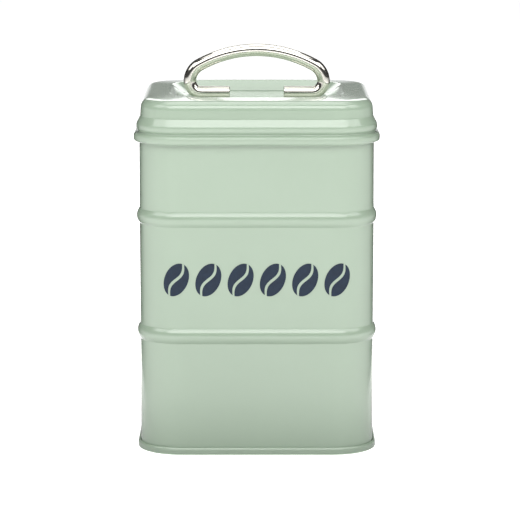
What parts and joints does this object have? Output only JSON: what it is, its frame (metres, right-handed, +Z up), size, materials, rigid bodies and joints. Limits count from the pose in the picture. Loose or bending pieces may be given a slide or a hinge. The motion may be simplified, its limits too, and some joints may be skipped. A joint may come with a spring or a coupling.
{
  "type": "coffee tin",
  "caption": "Square storage tin with rounded corners, ribbed walls, a rolled foot seam and a stepped lid that lifts off by a bent rod handle",
  "frame": {"origin": "centre of the footprint, on the ground under the foot seam", "axes": "+Z up; the plain front faces -Y and the lock seam is at +Y; the handle runs along X"},
  "size_m": [0.1154, 0.1154, 0.1885],
  "materials": {
    "paint": "gloss enamel",
    "silicone": "translucent",
    "nickel": "polished",
    "zinc": "bright zinc"
  },
  "bodies": {
    "tin": {"body_wall": "paint", "base_pan": "paint"},
    "lid": {"lid_shell": "paint", "lid_seal": "silicone", "handle": "nickel", "handle_screw_left": "zinc", "handle_screw_right": "zinc", "washer_left": "zinc", "washer_right": "zinc"}
  },
  "joints": [
    {"name": "lid_lift", "type": "slide", "parent": "tin", "child": "lid", "axis": [0, 0, 1], "range_m": [0, 0.12]}
  ]
}
